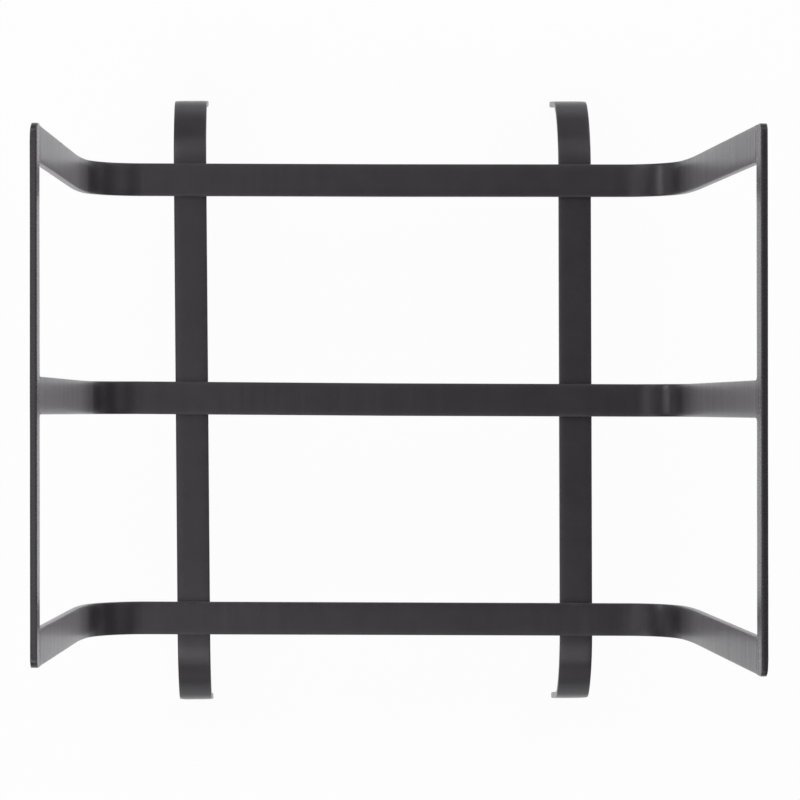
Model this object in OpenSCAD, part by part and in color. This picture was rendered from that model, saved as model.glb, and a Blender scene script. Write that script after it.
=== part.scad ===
// Log holder: an open rack of flat steel bar that stands on a hearth.
// Three long straps form the floor and are bent up at both ends as uprights.
// A side rail joins the uprights on each side. Two foot straps cross beneath
// the long straps and curl down into legs. All joints are welded.
// X runs along the long straps, Y along the side rails, and Z is up.
// The origin is on the ground, under the middle of the rack.

/* [Bars] */
// Width of the long straps' bar
strap_w = 25; // [16:1:40]
// Thickness of the long straps' bar
strap_t = 5; // [3:0.5:8]
// Width of the foot straps' bar
foot_w = 25; // [16:1:40]
// Thickness of the foot straps' bar
foot_t = 5; // [3:0.5:8]
// Height of the side rails' bar, which stands on edge
rail_h = 16; // [12:1:40]
// Thickness of the side rails' bar
rail_t = 5; // [3:0.5:8]
// Rounding of the bars' long edges
edge_r = 0.6; // [0.3:0.1:1.2]
// Steel that bending takes off each face of a bar in its bends
bend_thin = 0.02; // [0.01:0.01:0.1]

/* [Rack] */
// Inside length of the floor, between the planes of the uprights
floor_len = 447; // [300:1:700]
// Distance across the long straps, from outer edge to outer edge
rack_d = 360; // [220:5:600]
// Height from the rack's floor to the underside of the side rails
side_h = 310; // [160:5:450]
// Outward lean of the uprights, in degrees
lean = 2.2; // [0:0.1:12]
// Inner radius of the bend between floor and upright
bend_r = 38; // [10:1:70]
// Rounding of the side rails' top end corners
rail_corner_r = 5; // [1:0.5:9]

/* [Feet] */
// Distance from the start of that bend to the foot strap's edge
foot_gap = 27.5; // [6:0.5:80]
// Height of the foot straps' top face above the ground
foot_h = 80; // [62:1:140]
// Distance from the rack's outer edge to the start of the leg's curl
leg_start = 0; // [0:1:20]
// Inner radius of the leg's curl
leg_r = 49; // [20:1:60]
// Outward slope of the straight end of a leg, in degrees
leg_splay = 6; // [0:0.5:15]
// Rounding of the corners at the end of a leg
toe_r = 3; // [1:0.5:5]

/* [Welds] */
// Leg length of the fillet beads beneath the crossings
cross_bead = 3; // [1.5:0.5:4]
// Distance that a crossing's bead stops short of the long strap's edge
bead_inset = 2; // [1:0.5:5]
// Leg length of the small fillets beside the tops of the uprights
rail_bead = 2; // [1:0.5:3]
// Width of the dressed seam across the top of an upright
seam_w = 6; // [3:0.5:9]
// Height that the dressed seam stands proud of the bars
seam_rise = 0.3; // [0.2:0.05:0.6]

/* [Hidden] */
$fn = 64;
STEEL = [0.22, 0.22, 0.23];
WELD = [0.27, 0.27, 0.28];
LEFT = -1;
RIGHT = 1;
BACK = 1;
FRONT = -1;
// Turn by which a bend runs on inside the straight length at either end
lap_turn = 0.5;
// Middle line of the back strap; the front one is as far on the other side
strap_y = rack_d / 2 - strap_w / 2;
// Top face of the long straps, on which the logs lie
floor_z = foot_h + strap_t;
// Turn of the bend from floor to upright
bend_turn = 90 - lean;
// Distance from the corner of floor and upright to either end of the bend
bend_reach = bend_r * tan(bend_turn / 2);
// Half the length of a long strap's flat part
strap_flat = floor_len / 2 - bend_reach;
// Length of an upright from that corner up its inner face
upright_len = side_h / cos(lean);
// Middle line of the right foot strap
foot_x = strap_flat - foot_gap - foot_w / 2;
// Half the length of a foot strap's flat part
foot_flat = rack_d / 2 + leg_start;
// Turn of a leg's curl, and the drop to where its inner face leaves the curl
leg_turn = 90 - leg_splay;
leg_drop = foot_t + leg_r * (1 - cos(leg_turn));
// Length of a leg's straight end, with a spare bit that the ground cuts off
leg_end = (foot_h - leg_drop) / cos(leg_splay) + foot_t;
// Size of a block that reaches past all of a foot strap
cut_block = 2 * (foot_flat + leg_r + foot_h);

// Cross-section of a flat bar: width along X, thickness along Y
module bar_section(w, t) {
    square([w - 2 * edge_r, t], center = true);
    square([w, t - 2 * edge_r], center = true);
    for (sx = [-1, 1], sy = [-1, 1])
        translate([sx * (w / 2 - edge_r), sy * (t / 2 - edge_r)])
            circle(r = edge_r);
}

// Straight bar from the origin along +X, with its top face at Z = 0
module straight_bar(len, w, t) {
    rotate([90, 0, 90])
        linear_extrude(len)
            translate([0, -t / 2])
                bar_section(w, t);
}

// Bend up from a straight bar that ends at the origin, about an inner radius
module bend_up(turn, r, w, t) {
    translate([0, 0, r])
        rotate([90, 90 + lap_turn, 0])
            rotate_extrude(angle = turn + 2 * lap_turn)
                translate([r + t / 2, 0])
                    rotate(90)
                        bar_section(w - 2 * bend_thin, t - 2 * bend_thin);
}

// Bar with a flat middle, whose top face is at Z = 0, and both ends bent up
module bent_bar(flat, turn, r, end_len, w, t) {
    translate([-flat, 0, 0])
        straight_bar(2 * flat, w, t);
    for (side = [0, 180])
        rotate(side)
            translate([flat, 0, 0]) {
                bend_up(turn, r, w, t);
                translate([r * sin(turn), 0, r * (1 - cos(turn))])
                    rotate([0, -turn, 0])
                        straight_bar(end_len, w, t);
            }
}

// Long strap whose middle line is at y
module long_strap(y) {
    color(STEEL)
        translate([0, y, floor_z])
            bent_bar(strap_flat, bend_turn, bend_r, upright_len - bend_reach, strap_w, strap_t);
}

// Places its children at the tops of one side's uprights, on their inner
// faces: X runs on up the side, Y along the rail, and Z into the rack
module at_side_top(side) {
    rotate(side == LEFT ? 180 : 0)
        translate([floor_len / 2, 0, floor_z])
            rotate([0, -bend_turn, 0])
                translate([upright_len, 0, 0])
                    children();
}

// Side view of a rail: its height along X from 0, its length along Y
module rail_outline() {
    translate([0, -rack_d / 2])
        square([rail_h - rail_corner_r, rack_d]);
    translate([0, rail_corner_r - rack_d / 2])
        square([rail_h, rack_d - 2 * rail_corner_r]);
    for (s = [-1, 1])
        translate([rail_h - rail_corner_r, s * (rack_d / 2 - rail_corner_r)])
            circle(r = rail_corner_r);
}

// Side rail: a bar on edge along the tops of the uprights
module side_rail(side) {
    color(STEEL)
        at_side_top(side)
            intersection() {
                translate([rail_h / 2, -rack_d / 2, 0])
                    rotate(90)
                        straight_bar(rack_d, rail_h, rail_t);
                translate([0, 0, -rail_t])
                    linear_extrude(rail_t)
                        rail_outline();
            }
}

// What rounds the corners at the ends of the legs, seen along the strap
module toe_corners() {
    for (s = [-1, 1])
        translate([s * foot_w / 2, 0])
            difference() {
                square(2 * toe_r, center = true);
                translate([-s * toe_r, toe_r])
                    circle(r = toe_r);
            }
}

// Foot strap on one side, with legs that are cut level with the ground
module foot_strap(side) {
    color(STEEL)
        translate([side * foot_x, 0, 0])
            difference() {
                translate([0, 0, foot_h - foot_t])
                    rotate(90)
                        mirror([0, 0, 1])
                            bent_bar(foot_flat, leg_turn, leg_r, leg_end, foot_w, foot_t);
                translate([0, 0, -cut_block / 2])
                    cube(cut_block, center = true);
                rotate([90, 0, 0])
                    linear_extrude(cut_block, center = true)
                        toe_corners();
            }
}

// Flat-faced fillet along Z, in the quadrant of +X and -Y
module fillet(len, leg) {
    linear_extrude(len, center = true)
        polygon([[0, 0], [0, -leg], [leg, 0]]);
}

// Beads beneath the crossings, along both edges of a foot strap
module foot_welds(side) {
    color(WELD)
        translate([side * foot_x, 0, foot_h])
            for (y = [-strap_y, 0, strap_y], edge = [0, 180])
                translate([0, y, 0])
                    rotate(edge)
                        translate([foot_w / 2, 0, 0])
                            rotate([90, 0, 0])
                                fillet(strap_w - 2 * bead_inset, cross_bead);
}

// Low dressed seam along Y, where an upright and the rail meet flush
module seam() {
    rotate([90, 0, 0])
        linear_extrude(strap_w - 2 * edge_r, center = true)
            polygon([
                [-seam_w / 2, 0], [seam_w / 2, 0],
                [seam_w / 2 - 2 * seam_rise, seam_rise],
                [2 * seam_rise - seam_w / 2, seam_rise]
            ]);
}

// Fillet between an upright's narrow face and the underside of the rail
module side_fillet(face) {
    translate([0, face * strap_w / 2, -strap_t / 2])
        rotate(face == BACK ? 180 : -90)
            fillet(strap_t - 2 * edge_r, rail_bead);
}

// Welds at the tops of the three uprights of one side
module rail_welds(side) {
    color(WELD)
        at_side_top(side) {
            for (y = [-strap_y, 0, strap_y])
                translate([0, y, 0])
                    seam();
            for (y = [0, strap_y])
                translate([0, y, 0])
                    side_fillet(FRONT);
            for (y = [-strap_y, 0])
                translate([0, y, 0])
                    side_fillet(BACK);
        }
}

module back_strap() { long_strap(strap_y); }
module middle_strap() { long_strap(0); }
module front_strap() { long_strap(-strap_y); }
module left_rail() { side_rail(LEFT); }
module right_rail() { side_rail(RIGHT); }
module left_foot_strap() { foot_strap(LEFT); }
module right_foot_strap() { foot_strap(RIGHT); }
module left_rail_welds() { rail_welds(LEFT); }
module right_rail_welds() { rail_welds(RIGHT); }
module left_foot_welds() { foot_welds(LEFT); }
module right_foot_welds() { foot_welds(RIGHT); }

back_strap();
middle_strap();
front_strap();
left_rail();
right_rail();
left_foot_strap();
right_foot_strap();
left_rail_welds();
right_rail_welds();
left_foot_welds();
right_foot_welds();
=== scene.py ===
# Log holder of welded flat steel bar, coated satin black, on a plain white floor.
# Metres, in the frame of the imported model: X along the long straps, Y along the
# side rails, Z up from the ground.
import math

import bmesh
import bpy
from mathutils import Matrix, Vector, noise


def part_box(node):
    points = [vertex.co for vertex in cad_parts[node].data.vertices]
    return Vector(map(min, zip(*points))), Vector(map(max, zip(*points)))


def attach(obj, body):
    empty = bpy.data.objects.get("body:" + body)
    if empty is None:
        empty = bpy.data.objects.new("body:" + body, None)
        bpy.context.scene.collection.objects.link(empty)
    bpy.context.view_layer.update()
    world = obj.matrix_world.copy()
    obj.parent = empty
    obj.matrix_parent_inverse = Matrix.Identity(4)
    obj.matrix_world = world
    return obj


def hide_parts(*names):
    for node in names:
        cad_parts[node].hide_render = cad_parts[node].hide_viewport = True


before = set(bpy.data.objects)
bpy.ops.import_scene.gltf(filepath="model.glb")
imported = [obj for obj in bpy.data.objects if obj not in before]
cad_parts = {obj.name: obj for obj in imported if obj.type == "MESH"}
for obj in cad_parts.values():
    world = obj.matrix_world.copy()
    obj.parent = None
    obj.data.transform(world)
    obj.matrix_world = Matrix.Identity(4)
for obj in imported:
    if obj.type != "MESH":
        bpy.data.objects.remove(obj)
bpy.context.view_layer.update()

MM = 0.001
UP, ALONG, ACROSS = Vector((0, 0, 1)), Vector((1, 0, 0)), Vector((0, 1, 0))
LEFT, RIGHT = -1, 1
QUARTER = math.radians(90)
LONG_STRAPS = ("front_strap", "middle_strap", "back_strap")

# The camera looks almost straight down from left of the middle, as the photograph's does. Its
# focal length and optical axis are in the photograph's pixels, and its turn is in degrees.
PHOTO_SIZE = 800
FOCAL_PX = 2901
AXIS_PX = (360, 400)
CAMERA_AT = (-0.0707, -0.0057, 2.3001)
CAMERA_TURN = (0.14, -1.35, -0.06)
SENSOR = 36.0

# Floor and surroundings: size, paint, share of plain white that the camera sees, and even light
FLOOR_SIZE = 30
FLOOR_PAINT = (0.9, 0.9, 0.9, 1)
FLOOR_WHITE = 0.95
WORLD_LEVEL = 0.1

# Softboxes on a dome round the rack: name, height in degrees, size, and for each of them its
# azimuth, counterclockwise from +X, and its power in watts
LAMP_AIM = Vector((0, 0, 0.1))
LAMP_REACH = 2.2
LAMP_COLOUR = (1.0, 0.96, 1.02)
SOFTBOXES = (
    ("low_softbox", 16, (1.4, 0.7), ((45, 16), (90, 1.4), (270, 2.2))),
    ("low_small_softbox", 16, (0.9, 0.35), ((172, 6.8),)),
    ("high_softbox", 47, (1.3, 1.0), ((0, 2), (45, 3.6), (90, 3.5), (135, 8.6), (225, 9.4), (270, 7.2))),
    ("top_softbox", 74, (1.0, 0.7), ((90, 1.2), (180, 2.5), (270, 2))),
)

# Satin black coat: its darker and lighter patches, and its thin edges
SATIN_DARK = (0.0225, 0.0205, 0.0235)
SATIN_LIGHT = (0.0285, 0.0262, 0.0292)
SATIN_EDGE = (0.040, 0.037, 0.038)
SHEEN = 0.38
SHEEN_ROUGHNESS = 0.3
ROUGHNESS = 0.32
RAIL_ROUGHNESS = 0.26
ROUGHNESS_SPREAD = 0.03
# Noises in the coat, each as features in a metre and detail, and the heights of their bumps
MOTTLE = (55, 3)
GRAIN = (480, 2)
RUBBED = (130, 4)
RUBBED_RANGE = (0.1, 0.9)
ROLL_MARKS = (85, 2)
MOTTLE_DEPTH = 0.04 * MM
GRAIN_DEPTH = 0.02 * MM
RAIL_GRAIN_DEPTH = 0.01 * MM
WELD_GRAIN_DEPTH = 0.03 * MM
STRAP_ROLL_DEPTH = 0.3 * MM
FOOT_ROLL_DEPTH = 0.15 * MM
# How far roll marks are drawn out across the bar, from 0 to 1
ROLL_STRETCH = 0.92

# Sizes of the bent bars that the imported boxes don't give by themselves. A long strap's bend ends
# in a tail that turns ever less, and a leg's curl has a wide part and a tighter one.
BAR_T = 5 * MM
TAIL = 60 * MM
TAIL_TURN = math.radians(8)
LEAN = math.radians(2.2)
LEG_R = 62 * MM
LEG_TURN = math.radians(54)
LEG_LOW_R = 28 * MM
LEG_SPLAY = math.radians(6)
TOE_R = 3 * MM
# Grinding on the outer face at the left rail's back end and the right rail's front end: share of
# half the thickness, and reach
RAIL_TAPER = 0.35
RAIL_TAPER_REACH = 12 * MM
RAIL_CORNER_R = {LEFT: 7 * MM, RIGHT: 5 * MM}

# Handmade departures from the square frame, which the photograph shows. For each long strap its
# bend radius, and then, left and right: shift along Y where its floor ends, shift along Y at the
# top of its upright, and shift of its bend along X, away from the middle
BENDS = {"back_strap": 41 * MM, "middle_strap": 33 * MM, "front_strap": 41 * MM}
SHIFTS = {
    "back_strap": ((0.5 * MM, -0.4 * MM, 2.5 * MM), (0, 0.2 * MM, 1.2 * MM)),
    "middle_strap": ((1.6 * MM, 2.1 * MM, -1.5 * MM), (-0.9 * MM, -0.7 * MM, 4.3 * MM)),
    "front_strap": ((1.1 * MM, 4.4 * MM, 2.0 * MM), (-1.2 * MM, -2.5 * MM, 1.2 * MM)),
}
# Shifts of the rails' front ends along Y, and turns of the foot straps about Z
RAIL_FRONT = {LEFT: 4.4 * MM, RIGHT: -2.6 * MM}
FOOT_TURN = {"left_foot_strap": math.radians(0.42), "right_foot_strap": math.radians(0.1)}

# Section of the rolled bar: rounded edges, broad faces that fall away towards them over a share
# of the width, and full narrow sides
EDGE_R = 0.8 * MM
FACE_TURN = math.radians(5)
FACE_REACH = 0.28
SIDE_TURN = math.radians(5)
FACE_STEPS = 2
CROWN_STEPS = 7
EDGE_STEPS = 5
SIDE_STEPS = 3

# Rings along a bar: their spacing on straight lengths, and the turn between them in a bend
RING_STEP = 6 * MM
RING_TURN = math.radians(2.5)
END_R = 0.6 * MM
END_STEPS = 5
CORNER_STEPS = 8

# Waviness that rolling and bending by hand leave in the bars
WAVE = 0.08 * MM
WAVE_LENGTH = 45 * MM

# Fillet beads beneath the crossings: leg at their middle and its share at their ends, depth of
# their roots in the bars, swell, and unevenness along them
CROSS_BEAD = 3 * MM
CROSS_BEAD_END = 0.35
BEAD_INSET = 2 * MM
BEAD_STEP = 0.3 * MM
BEAD_ROOT = 0.9 * MM
BEAD_SWELL = 0.02
BEAD_SHARE = 0.94
BEAD_UNEVEN = 0.05
BEAD_UNEVEN_LENGTH = 4 * MM
# Ripples of the weld pool: pitch, height as a share of the leg, and how far they bow
RIPPLE_PITCH = 1.5 * MM
RIPPLE_SHARE = 0.09
RIPPLE_BOW = 0.9 * MM

# Dressed seams at the tops of the uprights: their edges lie a little under the bars' faces, and
# their crests wander and are uneven
SEAM_BELOW = 6 * MM
SEAM_ABOVE = 4.5 * MM
SEAM_RISE = 0.12 * MM
SEAM_ROOT = 0.5 * MM
SEAM_SINK = 0.02 * MM
SEAM_WANDER = 0.5 * MM
SEAM_WANDER_LENGTH = 5 * MM
SEAM_UNEVEN = 0.4
SEAM_UNEVEN_LENGTH = 3 * MM

# Small hollow fillets beside those seams, with a slightly shorter leg at both ends
RAIL_BEAD = 3 * MM
RAIL_BEAD_INSET = 0.3 * MM
RAIL_BEAD_HOLLOW = -0.22
RAIL_BEAD_END = 0.25

# How rubbed the coat is on the crests of seams and on beads
SEAM_RUB = 0.3
BEAD_RUB = 0.2


def make_camera():
    """Camera at the photograph's place, with its framing."""
    data = bpy.data.cameras.new("camera")
    data.sensor_width = SENSOR
    data.lens = SENSOR * FOCAL_PX / PHOTO_SIZE
    data.shift_x = (PHOTO_SIZE / 2 - AXIS_PX[0]) / PHOTO_SIZE
    data.shift_y = (AXIS_PX[1] - PHOTO_SIZE / 2) / PHOTO_SIZE
    camera = bpy.data.objects.new("camera", data)
    camera.location = CAMERA_AT
    camera.rotation_euler = [math.radians(a) for a in CAMERA_TURN]
    bpy.context.collection.objects.link(camera)
    bpy.context.scene.camera = camera


def node(tree, kind, **values):
    """Adds a shader node and sets its values."""
    made = tree.nodes.new(kind)
    for name, value in values.items():
        setattr(made, name, value)
    return made


def seen_mask(tree):
    """1 for camera, glossy and transmission rays, and 0 for the rest."""
    path = node(tree, "ShaderNodeLightPath")
    first = node(tree, "ShaderNodeMath", operation="MAXIMUM")
    second = node(tree, "ShaderNodeMath", operation="MAXIMUM")
    tree.links.new(path.outputs["Is Camera Ray"], first.inputs[0])
    tree.links.new(path.outputs["Is Glossy Ray"], first.inputs[1])
    tree.links.new(first.outputs[0], second.inputs[0])
    tree.links.new(path.outputs["Is Transmission Ray"], second.inputs[1])
    return second.outputs[0]


def make_floor():
    """White floor that keeps a faint shadow of the rack."""
    bpy.ops.mesh.primitive_plane_add(size=FLOOR_SIZE)
    floor = bpy.context.object
    floor.name = "floor"
    material = bpy.data.materials.new("floor_white")
    material.use_nodes = True
    tree = material.node_tree
    shader = tree.nodes["Principled BSDF"]
    shader.inputs["Base Color"].default_value = FLOOR_PAINT
    shader.inputs["Roughness"].default_value = 1.0
    glow = node(tree, "ShaderNodeEmission")
    glow.inputs["Strength"].default_value = 1.0
    share = node(tree, "ShaderNodeMath", operation="MULTIPLY")
    share.inputs[1].default_value = FLOOR_WHITE
    mix = node(tree, "ShaderNodeMixShader")
    tree.links.new(seen_mask(tree), share.inputs[0])
    tree.links.new(share.outputs[0], mix.inputs[0])
    tree.links.new(shader.outputs[0], mix.inputs[1])
    tree.links.new(glow.outputs[0], mix.inputs[2])
    tree.links.new(mix.outputs[0], tree.nodes["Material Output"].inputs["Surface"])
    floor.data.materials.append(material)


def make_world():
    """Even light all round, which the camera sees as white."""
    world = bpy.data.worlds.new("world")
    bpy.context.scene.world = world
    world.use_nodes = True
    tree = world.node_tree
    back = tree.nodes["Background"]
    back.inputs["Color"].default_value = (1, 1, 1, 1)
    path = node(tree, "ShaderNodeLightPath")
    span = node(tree, "ShaderNodeMapRange")
    span.inputs["To Min"].default_value = WORLD_LEVEL
    span.inputs["To Max"].default_value = 1.0
    tree.links.new(path.outputs["Is Camera Ray"], span.inputs["Value"])
    tree.links.new(span.outputs["Result"], back.inputs["Strength"])


def lamp(name, azimuth, height, size, power):
    """Softbox on the dome round the rack, turned to its middle."""
    a, h = math.radians(azimuth), math.radians(height)
    away = Vector((math.cos(a) * math.cos(h), math.sin(a) * math.cos(h), math.sin(h)))
    data = bpy.data.lights.new(name, "AREA")
    data.shape = "RECTANGLE"
    data.size, data.size_y = size
    data.energy = power
    data.color = LAMP_COLOUR
    made = bpy.data.objects.new(name, data)
    made.location = LAMP_AIM + LAMP_REACH * away
    made.rotation_euler = (-away).to_track_quat("-Z", "Y").to_euler()
    bpy.context.collection.objects.link(made)


def blotches(tree, seed, grain, squeeze=(1, 1, 1)):
    """Noise in the rack's own coordinates, from 0 to 1, of a grain given as (scale, detail)."""
    place = node(tree, "ShaderNodeTexCoord")
    shift = node(tree, "ShaderNodeVectorMath", operation="MULTIPLY_ADD")
    shift.inputs[1].default_value = squeeze
    shift.inputs[2].default_value = (seed, 0.37 * seed, 0.71 * seed)
    noisy = node(tree, "ShaderNodeTexNoise")
    noisy.inputs["Scale"].default_value, noisy.inputs["Detail"].default_value = grain
    tree.links.new(place.outputs["Object"], shift.inputs[0])
    tree.links.new(shift.outputs[0], noisy.inputs["Vector"])
    return noisy.outputs["Fac"]


def ranged(tree, value, low, high, start=0.3, end=0.7):
    """A noise value, spread from low to high."""
    span = node(tree, "ShaderNodeMapRange")
    span.inputs["From Min"].default_value = start
    span.inputs["From Max"].default_value = end
    span.inputs["To Min"].default_value = low
    span.inputs["To Max"].default_value = high
    tree.links.new(value, span.inputs["Value"])
    return span.outputs["Result"]


def blend_colours(tree, share, first, second):
    """Mix of two colours, each a plain one or a socket."""
    mix = node(tree, "ShaderNodeMix", data_type="RGBA")
    for socket, value in ((mix.inputs[6], first), (mix.inputs[7], second)):
        if isinstance(value, tuple):
            socket.default_value = (*value, 1)
        else:
            tree.links.new(value, socket)
    tree.links.new(share, mix.inputs[0])
    return mix.outputs[2]


def bumped(tree, height, depth, under=None):
    """Normal of a surface with bumps of a depth, over other bumps if they are given."""
    bump = node(tree, "ShaderNodeBump")
    bump.inputs["Distance"].default_value = depth
    tree.links.new(height, bump.inputs["Height"])
    if under:
        tree.links.new(under, bump.inputs["Normal"])
    return bump.outputs["Normal"]


def powder_coat(name, seed, grain_depth=GRAIN_DEPTH, roughness=ROUGHNESS, across=None, roll_depth=0.0):
    """Satin black powder coat: mottled, finely pebbled, and thinner along the edges. Roll marks of
    the bar show through it, drawn out across the bar."""
    material = bpy.data.materials.new(name)
    material.use_nodes = True
    tree = material.node_tree
    shader = tree.nodes["Principled BSDF"]
    mottle = blotches(tree, seed, MOTTLE)
    grain = blotches(tree, seed + 3, GRAIN)
    coat = blend_colours(tree, ranged(tree, mottle, 0, 1), SATIN_DARK, SATIN_LIGHT)
    rub = node(tree, "ShaderNodeAttribute", attribute_name="rub")
    patch = node(tree, "ShaderNodeMath", operation="MULTIPLY")
    tree.links.new(rub.outputs["Fac"], patch.inputs[0])
    tree.links.new(ranged(tree, blotches(tree, seed + 7, RUBBED), *RUBBED_RANGE), patch.inputs[1])
    tree.links.new(blend_colours(tree, patch.outputs[0], coat, SATIN_EDGE), shader.inputs["Base Color"])
    rough = ranged(tree, grain, roughness - ROUGHNESS_SPREAD, roughness + ROUGHNESS_SPREAD)
    tree.links.new(rough, shader.inputs["Roughness"])
    shader.inputs["Sheen Weight"].default_value = SHEEN
    shader.inputs["Sheen Roughness"].default_value = SHEEN_ROUGHNESS
    slow = bumped(tree, mottle, MOTTLE_DEPTH)
    if across:
        marks = blotches(tree, seed + 5, ROLL_MARKS, Vector((1, 1, 1)) - ROLL_STRETCH * across)
        slow = bumped(tree, marks, roll_depth, slow)
    tree.links.new(bumped(tree, grain, grain_depth, slow), shader.inputs["Normal"])
    return material


def face_fall(across, width):
    """How far a bar's broad face falls away at a distance from its middle line."""
    reach = FACE_REACH * width
    share = max(0.0, (abs(across) - width / 2 + EDGE_R + reach) / reach)
    return reach * math.tan(FACE_TURN) / 3 * min(share, 1.0) ** 3


def bar_section(width, inset=0.0):
    """Outline of a bar as (across, through, rub) points; rub says how near the edge is."""
    half_w, half_t = width / 2, BAR_T / 2
    reach = FACE_REACH * width
    fall = reach * math.tan(FACE_TURN) / 3
    arc_v = half_t - fall - EDGE_R * math.cos(FACE_TURN)
    side_v = arc_v + EDGE_R * math.sin(SIDE_TURN)
    side_fall = side_v * math.tan(SIDE_TURN) / 2
    arc_u = half_w - side_fall - EDGE_R * math.cos(SIDE_TURN)
    crown_u = arc_u + EDGE_R * math.sin(FACE_TURN) - reach
    quarter = [(crown_u * i / FACE_STEPS, half_t - inset, 0.0) for i in range(FACE_STEPS)]
    for i in range(CROWN_STEPS):
        share = i / CROWN_STEPS
        quarter.append((crown_u + share * reach, half_t - inset - fall * share ** 3, share ** 4))
    arc = QUARTER - FACE_TURN - SIDE_TURN
    for i in range(EDGE_STEPS + 1):
        a = SIDE_TURN + arc * (1 - i / EDGE_STEPS)
        radius = EDGE_R - inset
        quarter.append((arc_u + radius * math.cos(a), arc_v + radius * math.sin(a), 1.0))
    for i in range(1, SIDE_STEPS):
        share = 1 - i / SIDE_STEPS
        quarter.append((half_w - inset - side_fall * share ** 2, side_v * share, share ** 2))
    side = (half_w - inset, 0.0, 0.0)
    ring = quarter + [side] + [(u, -v, rub) for u, v, rub in reversed(quarter)]
    ring += [(-u, -v, rub) for u, v, rub in quarter[1:]] + [(-side[0], 0.0, 0.0)]
    return ring + [(-u, v, rub) for u, v, rub in reversed(quarter[1:])]


def round_off(depth, radius):
    """How far a rounded corner stands back at a depth from its end."""
    inside = max(0.0, radius - depth)
    return radius - math.sqrt(radius ** 2 - inside ** 2)


def steps(length, step):
    """Evenly spaced places from 0 to a length, both included."""
    count = max(1, round(length / step))
    return [length * i / count for i in range(count + 1)]


def wave(place, seed):
    """Small offset of a bar's surface at a place along it, on the whole inward."""
    return WAVE * (noise.noise(Vector((place / WAVE_LENGTH, seed, 0.5))) - 0.5)


def mirrored(rings, axis):
    """Rings of the other half, from its end back to the middle, without the shared middle ring."""
    flip = Vector((1, 1, 1)) - 2 * axis
    return [[(point * flip, rub) for point, rub in ring] for ring in reversed(rings[1:])]


def skin(mesh, rings):
    """Joins rings of (point, rub) into one closed surface with flat ends."""
    layer = mesh.verts.layers.float.get("rub") or mesh.verts.layers.float.new("rub")
    rows = []
    for ring in rings:
        row = []
        for point, rub in ring:
            vert = mesh.verts.new(point)
            vert[layer] = rub
            row.append(vert)
        rows.append(row)
    for low, high in zip(rows, rows[1:]):
        for i in range(len(low)):
            j = (i + 1) % len(low)
            mesh.faces.new((low[i], low[j], high[j], high[i]))
    mesh.faces.new(rows[0])
    mesh.faces.new(rows[-1])


def add_piece(name, mesh, material, stands_for):
    """Makes a piece of a mesh, which stands for a CAD node and rides on the frame."""
    bmesh.ops.recalc_face_normals(mesh, faces=mesh.faces)
    data = bpy.data.meshes.new(name)
    mesh.to_mesh(data)
    mesh.free()
    data.polygons.foreach_set("use_smooth", [True] * len(data.polygons))
    data.materials.append(material)
    piece = bpy.data.objects.new(name, data)
    bpy.context.collection.objects.link(piece)
    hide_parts(stands_for)
    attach(piece, "root")


def strap_shifts(name, side):
    """Handmade shifts of a long strap on one side."""
    return SHIFTS[name][0 if side == LEFT else 1]


def strap_route(name, side):
    """One half of a long strap, as if it were the right one: places, and the way to the inner face."""
    low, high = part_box(name)
    bend_r = BENDS[name]
    floor_shift, top_shift, outward = strap_shifts(name, side)
    floor_z = low.z + BAR_T
    side_h = high.z - floor_z
    top_x = high.x - BAR_T * math.cos(LEAN)
    corner_x = top_x - side_h * math.tan(LEAN) + outward
    lean = math.atan((top_x - corner_x) / side_h)
    corner = corner_x * ALONG + floor_z * UP
    rise = math.sin(lean) * ALONG + math.cos(lean) * UP

    def inward(turn):
        return math.cos(turn) * UP - math.sin(turn) * ALONG

    full_turn = QUARTER - lean
    arc_turn = full_turn - TAIL_TURN
    sway = TAIL_TURN * TAIL / 3
    low_s = (bend_r * (1 - math.cos(arc_turn)) - sway * math.sin(lean)) / math.cos(lean)
    arc_end = corner + low_s * rise + sway * inward(full_turn)
    centre = arc_end + bend_r * inward(arc_turn)
    route = [(x * ALONG + floor_z * UP + x / centre.x * floor_shift * ACROSS, UP)
             for x in steps(centre.x, RING_STEP)]
    for a in steps(arc_turn, RING_TURN)[1:]:
        route.append((centre - bend_r * inward(a) + floor_shift * ACROSS, inward(a)))
    length = side_h / math.cos(lean)
    for s in steps(length - low_s, RING_STEP)[1:]:
        share = max(0.0, 1 - s / TAIL)
        spot = corner + (low_s + s) * rise + sway * share ** 3 * inward(full_turn)
        spot += (floor_shift + (top_shift - floor_shift) * s / (length - low_s)) * ACROSS
        route.append((spot, inward(full_turn - TAIL_TURN * share ** 2)))
    return [(spot - BAR_T / 2 * face, face) for spot, face in route]


def long_strap(name, material, seed):
    """One bar of the rack's floor, bent up at both ends."""
    low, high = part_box(name)
    section = bar_section(high.y - low.y)
    middle = (low.y + high.y) / 2 * ACROSS

    def half(side):
        rings = []
        for place, (spot, inward) in enumerate(strap_route(name, side)):
            lift = wave(place * RING_STEP, seed + side / 4) if place else 0.0
            rings.append([
                (spot + middle + u * ACROSS + (v + lift) * inward, rub)
                for u, v, rub in section])
        return rings

    mesh = bmesh.new()
    skin(mesh, mirrored(half(LEFT), ALONG) + half(RIGHT))
    add_piece(name + "_bar", mesh, material, name)


def toe_heights(top):
    """Heights of a leg's rings from the end of its curl down to the ground."""
    heights = [top - depth for depth in steps(top - TOE_R, RING_STEP)[1:]]
    for i in range(1, CORNER_STEPS):
        heights.append(TOE_R * (1 - math.sin(QUARTER * i / CORNER_STEPS)))
    ends = [END_R * (1 - math.sin(QUARTER * i / END_STEPS)) for i in range(END_STEPS + 1)]
    return [h for h in heights if h > END_R] + ends


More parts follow.
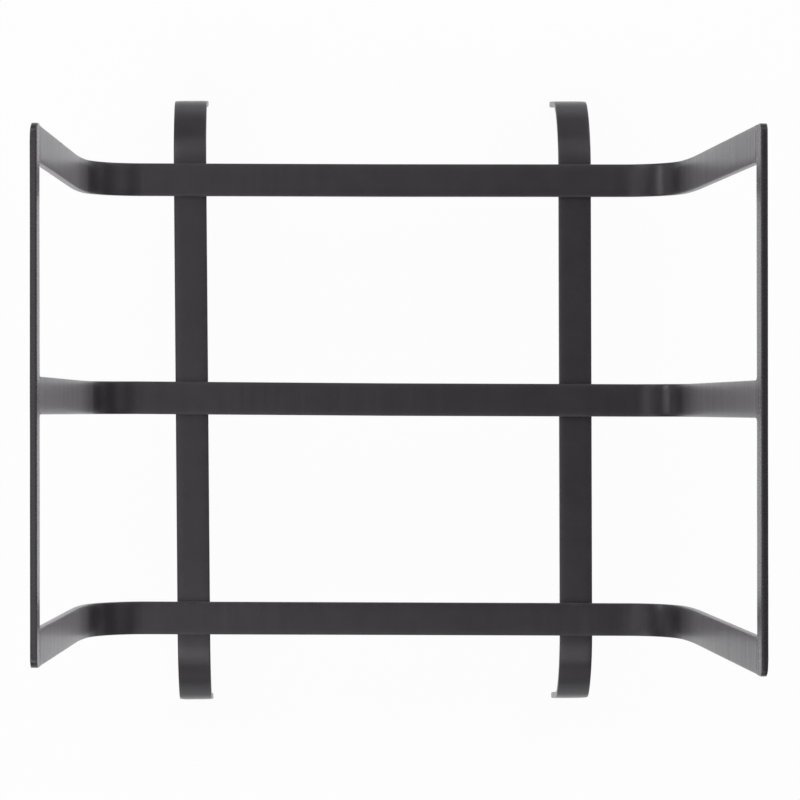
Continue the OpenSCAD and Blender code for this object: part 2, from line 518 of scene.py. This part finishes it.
def foot_strap(name, material, seed):
    """One bar beneath the floor, curled down at both ends into legs."""
    low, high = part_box(name)
    width = high.x - low.x
    middle = (low.x + high.x) / 2 * ALONG
    turn = QUARTER - LEG_SPLAY

    def outward(a):
        return math.sin(a) * ACROSS + math.cos(a) * UP

    curl_drop = LEG_R * (1 - math.cos(LEG_TURN)) + LEG_LOW_R * (math.cos(LEG_TURN) - math.cos(turn))
    curl_reach = LEG_R * math.sin(LEG_TURN) + LEG_LOW_R * (math.sin(turn) - math.sin(LEG_TURN))
    flat = high.y - (high.z - curl_drop) * math.tan(LEG_SPLAY) - curl_reach
    centre = flat * ACROSS + (high.z - LEG_R) * UP
    low_centre = centre + (LEG_R - LEG_LOW_R) * outward(LEG_TURN)
    route = [(y * ACROSS + (high.z - BAR_T / 2) * UP, UP) for y in steps(flat, RING_STEP)]
    for a in steps(LEG_TURN, RING_TURN)[1:]:
        route.append((centre + (LEG_R - BAR_T / 2) * outward(a), outward(a)))
    for a in steps(turn - LEG_TURN, RING_TURN)[1:]:
        face = outward(LEG_TURN + a)
        route.append((low_centre + (LEG_LOW_R - BAR_T / 2) * face, face))
    toe = (high.y - BAR_T / 2 / math.cos(LEG_SPLAY)) * ACROSS
    rise = math.cos(LEG_SPLAY) * UP - math.sin(LEG_SPLAY) * ACROSS
    toe_face = outward(turn)

    def half(seed):
        rings = []
        for place, (spot, face) in enumerate(route):
            lift = wave(place * RING_STEP, seed) if place else 0.0
            rings.append([
                (spot + middle + u * ALONG + (v + lift) * face, rub)
                for u, v, rub in bar_section(width)])
        for height in toe_heights(route[-1][0].z - BAR_T / 2):
            ring = []
            for u, v, rub in bar_section(width - 2 * round_off(height, TOE_R), round_off(height, END_R)):
                along = (height - v * toe_face.z) / rise.z
                ring.append((toe + middle + u * ALONG + v * toe_face + along * rise, rub))
            rings.append(ring)
        return rings

    mesh = bmesh.new()
    skin(mesh, mirrored(half(seed), ACROSS) + half(seed + 0.5))
    turn_foot(mesh, name)
    add_piece(name + "_bar", mesh, material, name)


def turn_foot(mesh, name):
    """Turns a foot strap or its beads a little about its middle, seen from above."""
    low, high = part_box(name)
    middle = (low.x + high.x) / 2 * ALONG
    turn = Matrix.Rotation(FOOT_TURN[name], 3, "Z")
    bmesh.ops.rotate(mesh, cent=middle, matrix=turn, verts=mesh.verts)


def side_top(side):
    """Line where a rail stands on its uprights' inner faces, with the ways up and out from it."""
    low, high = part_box("left_rail" if side == LEFT else "right_rail")
    rise = side * math.sin(LEAN) * ALONG + math.cos(LEAN) * UP
    out = side * math.cos(LEAN) * ALONG - math.sin(LEAN) * UP
    tall = (high.z - low.z + BAR_T * out.z) / rise.z
    inner_x = high.x if side == LEFT else low.x
    return inner_x * ALONG + (high.z - tall * rise.z) * UP, rise, out, tall


def side_rail(name, side, material, seed):
    """One bar on edge that joins the tops of the uprights."""
    origin, rise, out, tall = side_top(side)
    low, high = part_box(name)
    half_len = (high.y - low.y) / 2
    corner_r = RAIL_CORNER_R[side]
    depths = [END_R * (1 - math.cos(QUARTER * i / END_STEPS)) for i in range(END_STEPS)]
    for i in range(CORNER_STEPS + 1):
        depth = corner_r * (1 - math.cos(QUARTER * i / CORNER_STEPS))
        if depth > END_R:
            depths.append(depth)
    depths += [corner_r + s for s in steps(half_len - corner_r, RING_STEP)[1:]]

    def half(sign):
        taper = RAIL_TAPER if side * sign < 0 else 0.0
        rings = []
        for depth in reversed(depths):
            height = tall - round_off(depth, corner_r)
            thinner = 1 - taper * max(0.0, 1 - depth / RAIL_TAPER_REACH) ** 2
            y = sign * (half_len - depth)
            if sign < 0:
                y += RAIL_FRONT[side] * (1 - depth / half_len)
            ring = []
            for u, v, rub in bar_section(height, round_off(depth, END_R)):
                v = min(v, v * thinner) * (1 + 2 * wave(y, seed) / BAR_T)
                offset = (height / 2 + u) * rise + (BAR_T / 2 + v) * out
                ring.append((origin + offset + y * ACROSS, rub))
            rings.append(ring)
        return rings

    mesh = bmesh.new()
    skin(mesh, list(reversed(half(-1)))[:-1] + half(1))
    add_piece(name + "_bar", mesh, material, name)


def bell(share):
    """Smooth hump, from 0 at -1 over 1 at 0 to 0 at 1."""
    return math.cos(QUARTER * min(1.0, abs(share))) ** 2


def seam(mesh, side, middle_y, width, seed):
    """Bead across the top of an upright's inner face, dressed nearly flush."""
    origin, rise, out, tall = side_top(side)
    places = [p - SEAM_BELOW for p in steps(SEAM_BELOW + SEAM_ABOVE, BEAD_STEP)]
    half_w = width / 2 - EDGE_R
    rings = []
    for y in steps(2 * half_w, 2 * BEAD_STEP):
        across = y - half_w
        taper = 1 - (across / half_w) ** 6
        wander = SEAM_WANDER * noise.noise(Vector((y / SEAM_WANDER_LENGTH, seed, 2.5)))
        line = origin + (middle_y + across) * ACROSS
        ring = []
        for p in places:
            on_rail = min(1.0, max(0.0, p / SEAM_ABOVE))
            base = face_fall(across, width) * (1 - on_rail) + face_fall(tall / 2 - p, tall) * on_rail
            hump = bell((p - wander + SEAM_BELOW / 2) / (SEAM_BELOW / 2))
            pit = Vector((y / SEAM_UNEVEN_LENGTH, p / SEAM_UNEVEN_LENGTH, seed))
            uneven = 1 + SEAM_UNEVEN * noise.noise(pit)
            height = SEAM_RISE * hump * taper * uneven - base - SEAM_SINK
            ring.append((line + p * rise - height * out, SEAM_RUB * hump))
        for p in (places[-1], places[0]):
            ring.append((line + p * rise + SEAM_ROOT * out, 0.0))
        rings.append(ring)
    skin(mesh, rings)


def bead_ring(corner, first, second, leg, bulge, ripple_at):
    """Section of a fillet bead in a corner, between the ways along its two legs."""
    root = corner - BEAD_ROOT * first
    ring = [(root - BEAD_ROOT * second, 0.0), (root + leg * second, 0.0)]
    for i in range(1, CORNER_STEPS):
        share = i / CORNER_STEPS
        spot = corner + leg * (share * first + (1 - share) * second)
        swell = leg * (bulge * math.sin(math.pi * share) + RIPPLE_SHARE * ripple_at(share))
        ring.append((spot + swell * (first + second).normalized(), BEAD_RUB))
    ring.append((corner + leg * first - BEAD_ROOT * second, 0.0))
    return ring


def side_fillet(mesh, side, y, face):
    """Small fillet between an upright's narrow side and the rail above it."""
    origin, rise, out, _ = side_top(side)
    rings = []
    deep = BAR_T - 2 * RAIL_BEAD_INSET
    for depth in steps(deep, 2 * BEAD_STEP):
        end = min(depth, deep - depth)
        leg = RAIL_BEAD * (1 - RAIL_BEAD_END * bell(end / (2 * BEAD_STEP)))
        corner = origin + y * ACROSS + (RAIL_BEAD_INSET + depth) * out
        rings.append(bead_ring(corner, face * ACROSS, -rise, leg, RAIL_BEAD_HOLLOW, lambda share: 0.0))
    skin(mesh, rings)


def rail_welds(name, side, material):
    """Seam and side fillets at the top of each upright of one side."""
    mesh = bmesh.new()
    for place, strap in enumerate(LONG_STRAPS):
        low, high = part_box(strap)
        shift = strap_shifts(strap, side)[1]
        seam(mesh, side, (low.y + high.y) / 2 + shift, high.y - low.y, place + 3 * side)
        if place > 0:
            side_fillet(mesh, side, low.y + shift, -1)
        if place < len(LONG_STRAPS) - 1:
            side_fillet(mesh, side, high.y + shift, 1)
    add_piece(name + "_beads", mesh, material, name)


def crossing_bead(mesh, start, length, away, seed):
    """Rippled bead along +Y beneath a long strap, beside the edge of the foot strap."""
    rings = []
    for s in steps(length, BEAD_STEP):
        end = min(s, length - s)
        full = math.sqrt(1 - (1 - min(1.0, end / CROSS_BEAD)) ** 2)
        leg = CROSS_BEAD * (CROSS_BEAD_END + (1 - CROSS_BEAD_END) * full)
        leg *= BEAD_SHARE + BEAD_UNEVEN * noise.noise(Vector((s / BEAD_UNEVEN_LENGTH, seed, 7.5)))

        def ripple(share):
            phase = (s + RIPPLE_BOW * math.sin(math.pi * share)) / RIPPLE_PITCH
            return math.sqrt(abs(math.sin(math.pi * phase + seed))) * math.sin(math.pi * share)

        rings.append(bead_ring(start + s * ACROSS, away * ALONG, -UP, leg, BEAD_SWELL, ripple))
    skin(mesh, rings)


def foot_welds(name, foot, material):
    """Two beads beneath each long strap, where it crosses a foot strap."""
    mesh = bmesh.new()
    foot_low, foot_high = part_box(foot)
    for place, strap in enumerate(LONG_STRAPS):
        low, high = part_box(strap)
        length = high.y - low.y - 2 * BEAD_INSET
        for x, away in ((foot_low.x, -1), (foot_high.x, 1)):
            start = Vector((x, low.y + BEAD_INSET, foot_high.z))
            crossing_bead(mesh, start, length, away, 2 * place + away)
    turn_foot(mesh, foot)
    add_piece(name + "_beads", mesh, material, name)


make_camera()
make_floor()
make_world()
for kind, height, size, places in SOFTBOXES:
    for azimuth, power in places:
        lamp("%s_%03d" % (kind, azimuth), azimuth, height, size, power)

strap_coat = powder_coat("long_strap_coat", 1, across=ACROSS, roll_depth=STRAP_ROLL_DEPTH)
foot_coat = powder_coat("foot_strap_coat", 2, across=ALONG, roll_depth=FOOT_ROLL_DEPTH)
rail_coat = powder_coat("rail_coat", 3, grain_depth=RAIL_GRAIN_DEPTH, roughness=RAIL_ROUGHNESS)
weld_coat = powder_coat("weld_coat", 4, grain_depth=WELD_GRAIN_DEPTH)
for seed, name in enumerate(("back_strap", "middle_strap", "front_strap")):
    long_strap(name, strap_coat, seed)
foot_strap("left_foot_strap", foot_coat, 11)
foot_strap("right_foot_strap", foot_coat, 12)
side_rail("left_rail", LEFT, rail_coat, 21)
side_rail("right_rail", RIGHT, rail_coat, 22)
rail_welds("left_rail_welds", LEFT, weld_coat)
rail_welds("right_rail_welds", RIGHT, weld_coat)
foot_welds("left_foot_welds", "left_foot_strap", weld_coat)
foot_welds("right_foot_welds", "right_foot_strap", weld_coat)

bpy.context.scene.view_settings.view_transform = "Standard"
